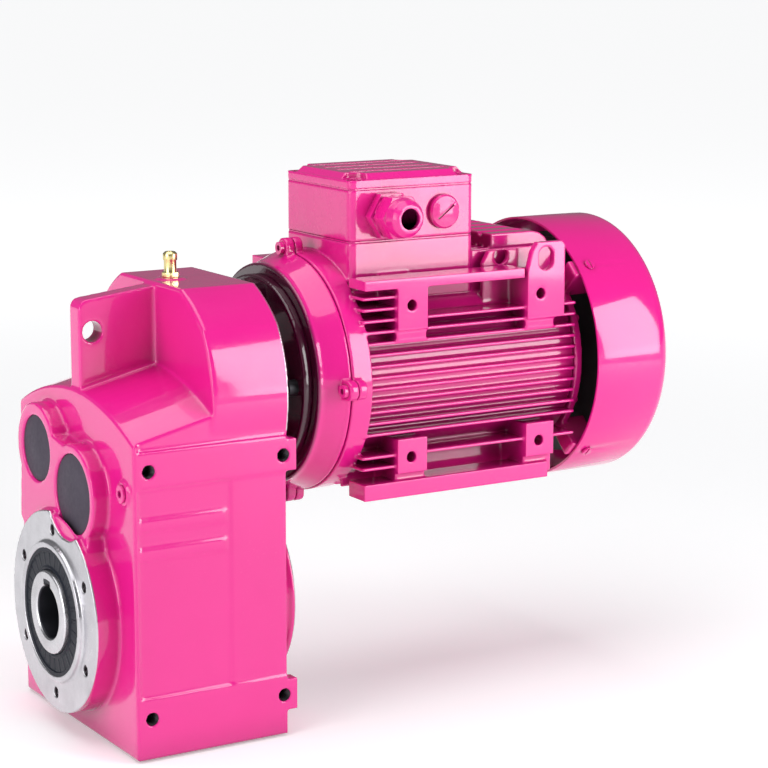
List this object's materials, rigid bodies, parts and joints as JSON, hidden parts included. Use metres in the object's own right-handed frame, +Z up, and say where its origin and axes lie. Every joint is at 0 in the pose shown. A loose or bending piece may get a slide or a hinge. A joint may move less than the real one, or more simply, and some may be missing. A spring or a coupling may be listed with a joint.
{
  "type": "gearmotor",
  "caption": "Parallel-shaft gearmotor with a hollow keyed output shaft, a torque-arm lug, a finned fan-cooled motor and a terminal box.",
  "frame": {"origin": "on the output shaft axis in the plane of the front output flange face", "axes": "+X from the front output face towards the motor fan, +Y to the side away from the cable gland, +Z up towards the motor axis"},
  "size_m": [0.5165, 0.22, 0.4261],
  "materials": {
    "painted_casting": "gloss",
    "painted_sheet": "gloss",
    "painted_plastic": "gloss",
    "machined_steel": "machined",
    "gear_steel": "ground",
    "black_screw": "black oxide",
    "cap_grey": "satin",
    "rubber": "matte",
    "brass": "polished",
    "copper": "varnished",
    "aluminium": "cast",
    "fan_plastic": "matte",
    "board_resin": "matte",
    "steel_core": "laminated"
  },
  "bodies": {
    "housing": {"gear_housing": "painted_casting", "rear_cover": "painted_casting", "cover_screws": "black_screw", "upper_shaft_cap": "cap_grey", "lower_shaft_cap": "cap_grey", "output_bearing_outer_rings": "gear_steel", "front_output_seal": "rubber", "rear_output_seal": "rubber", "second_bearing_outer_rings": "gear_steel", "first_bearing_outer_rings": "gear_steel", "breather_plug": "brass", "oil_level_plug": "painted_casting", "oil_drain_plug": "painted_casting", "motor_adapter": "painted_casting", "adapter_screws": "black_screw", "motor_flange_screws": "black_screw", "input_seal": "rubber", "drive_end_shield": "painted_casting", "stator_frame": "painted_casting", "frame_screws": "painted_casting", "stator_core": "steel_core", "stator_windings": "copper", "motor_bearing_outer_rings": "gear_steel", "preload_spring": "gear_steel", "rear_end_shield": "painted_casting", "fan_cowl": "painted_sheet", "cowl_screws": "painted_sheet", "terminal_box": "painted_casting", "terminal_box_gasket": "rubber", "terminal_lid": "painted_casting", "lid_gasket": "rubber", "lid_screws": "painted_casting", "terminal_board": "board_resin", "terminal_studs": "brass", "earth_screw": "brass", "gland_body": "painted_plastic", "gland_seal": "rubber", "gland_nut": "painted_plastic", "blanking_plug": "painted_plastic"},
    "output": {"output_hollow_shaft": "machined_steel", "output_gear": "gear_steel", "output_gear_key": "gear_steel", "output_spacer": "gear_steel", "output_bearing_inner_rings": "gear_steel"},
    "second_stage": {"second_shaft": "gear_steel", "second_gear": "gear_steel", "second_gear_key": "gear_steel", "second_bearing_inner_rings": "gear_steel"},
    "first_stage": {"first_shaft": "gear_steel", "first_gear": "gear_steel", "first_gear_key": "gear_steel", "first_bearing_inner_rings": "gear_steel"},
    "rotor": {"motor_pinion": "gear_steel", "rotor_core": "steel_core", "rotor_cage": "aluminium", "rotor_shaft": "machined_steel", "motor_bearing_inner_rings": "gear_steel", "cooling_fan": "fan_plastic", "fan_circlip": "gear_steel"}
  },
  "joints": [
    {"name": "motor_spin", "type": "hinge", "parent": "housing", "child": "rotor", "pos_m": [0.3, 0, 0.16927], "axis": [1, 0, 0], "continuous": true},
    {"name": "first_stage_spin", "type": "hinge", "parent": "housing", "child": "first_stage", "pos_m": [0.08, 0.042, 0.12032], "axis": [1, 0, 0], "continuous": true},
    {"name": "second_stage_spin", "type": "hinge", "parent": "housing", "child": "second_stage", "pos_m": [0.08, -0.025, 0.09682], "axis": [1, 0, 0], "continuous": true},
    {"name": "output_spin", "type": "hinge", "parent": "housing", "child": "output", "pos_m": [0.085, 0, 0], "axis": [1, 0, 0], "continuous": true}
  ],
  "couplings": [
    {"joint": "first_stage_spin", "follows": "motor_spin", "ratio": -0.24638},
    {"joint": "second_stage_spin", "follows": "motor_spin", "ratio": 0.065994},
    {"joint": "output_spin", "follows": "motor_spin", "ratio": -0.015229}
  ]
}
